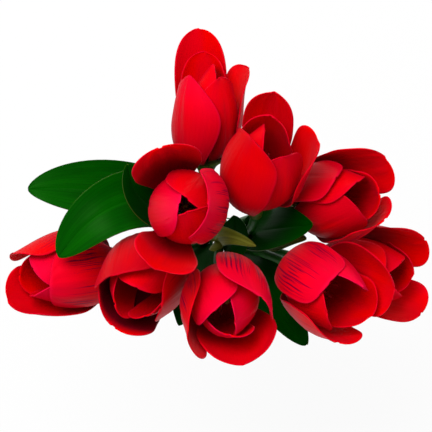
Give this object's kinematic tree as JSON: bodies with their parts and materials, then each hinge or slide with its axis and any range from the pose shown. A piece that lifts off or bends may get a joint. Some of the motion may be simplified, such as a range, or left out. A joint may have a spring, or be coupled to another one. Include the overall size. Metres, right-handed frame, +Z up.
{
  "type": "artificial tulip bunch",
  "caption": "Bound bunch of red artificial tulips: cupped petal heads that pull off wire-cored stems, clasping leaves and a round taped grip for a vase or holder.",
  "frame": {"origin": "centre of the cut stem ends, on the axis of the taped grip", "axes": "+Z up the grip towards the flower heads; +Y towards the head that leans back furthest, the top of the picture; +X to the picture's right"},
  "size_m": [0.2055, 0.1533, 0.385],
  "materials": {
    "outer_petal": "coated, satin, with dark veins printed on the outside",
    "inner_petal": "coated, satin",
    "centre": "moulded, matt olive",
    "calyx": "moulded, matt green",
    "stem": "moulded, satin green",
    "leaf": "embossed, satin green, paler underneath",
    "wire": "drawn wire",
    "tape": "wound florist's tape"
  },
  "bodies": {
    "bunch": {"binding": "tape", "core_wrap": "tape", "stem_wires": "wire", "stem_1": "stem", "stem_2": "stem", "stem_3": "stem", "stem_4": "stem", "stem_5": "stem", "stem_6": "stem", "stem_7": "stem", "stem_8": "stem", "stem_9": "stem", "leaf_1": "leaf", "leaf_2": "leaf", "leaf_3": "leaf", "leaf_4": "leaf", "leaf_5": "leaf", "leaf_6": "leaf", "leaf_7": "leaf", "leaf_8": "leaf", "leaf_9": "leaf"},
    "head_1": {"flower_1_outer_petals": "outer_petal", "flower_1_inner_petals": "inner_petal", "flower_1_centre": "centre", "flower_1_calyx": "calyx"},
    "head_2": {"flower_2_outer_petals": "outer_petal", "flower_2_inner_petals": "inner_petal", "flower_2_centre": "centre", "flower_2_calyx": "calyx"},
    "head_3": {"flower_3_outer_petals": "outer_petal", "flower_3_inner_petals": "inner_petal", "flower_3_centre": "centre", "flower_3_calyx": "calyx"},
    "head_4": {"flower_4_outer_petals": "outer_petal", "flower_4_inner_petals": "inner_petal", "flower_4_centre": "centre", "flower_4_calyx": "calyx"},
    "head_5": {"flower_5_outer_petals": "outer_petal", "flower_5_inner_petals": "inner_petal", "flower_5_centre": "centre", "flower_5_calyx": "calyx"},
    "head_6": {"flower_6_outer_petals": "outer_petal", "flower_6_inner_petals": "inner_petal", "flower_6_centre": "centre", "flower_6_calyx": "calyx"},
    "head_7": {"flower_7_outer_petals": "outer_petal", "flower_7_inner_petals": "inner_petal", "flower_7_centre": "centre", "flower_7_calyx": "calyx"},
    "head_8": {"flower_8_outer_petals": "outer_petal", "flower_8_inner_petals": "inner_petal", "flower_8_centre": "centre", "flower_8_calyx": "calyx"},
    "head_9": {"flower_9_outer_petals": "outer_petal", "flower_9_inner_petals": "inner_petal", "flower_9_centre": "centre", "flower_9_calyx": "calyx"}
  },
  "joints": [
    {"name": "head_1_pull", "type": "slide", "parent": "bunch", "child": "head_1", "axis": [-0.02, 0.9021, 0.431], "range_m": [0, 0.016]},
    {"name": "head_2_pull", "type": "slide", "parent": "bunch", "child": "head_2", "axis": [0.0799, 0.6794, 0.7294], "range_m": [0, 0.016]},
    {"name": "head_3_pull", "type": "slide", "parent": "bunch", "child": "head_3", "axis": [0, 0.0504, 0.9987], "range_m": [0, 0.016]},
    {"name": "head_4_pull", "type": "slide", "parent": "bunch", "child": "head_4", "axis": [0.5793, 0.0999, 0.809], "range_m": [0, 0.016]},
    {"name": "head_5_pull", "type": "slide", "parent": "bunch", "child": "head_5", "axis": [0.7217, -0.1203, 0.6816], "range_m": [0, 0.016]},
    {"name": "head_6_pull", "type": "slide", "parent": "bunch", "child": "head_6", "axis": [-0.8051, -0.151, 0.5736], "range_m": [0, 0.016]},
    {"name": "head_7_pull", "type": "slide", "parent": "bunch", "child": "head_7", "axis": [-0.2219, -0.4035, 0.8877], "range_m": [0, 0.016]},
    {"name": "head_8_pull", "type": "slide", "parent": "bunch", "child": "head_8", "axis": [0.0998, -0.3592, 0.9279], "range_m": [0, 0.016]},
    {"name": "head_9_pull", "type": "slide", "parent": "bunch", "child": "head_9", "axis": [0.4209, -0.2505, 0.8718], "range_m": [0, 0.016]}
  ]
}
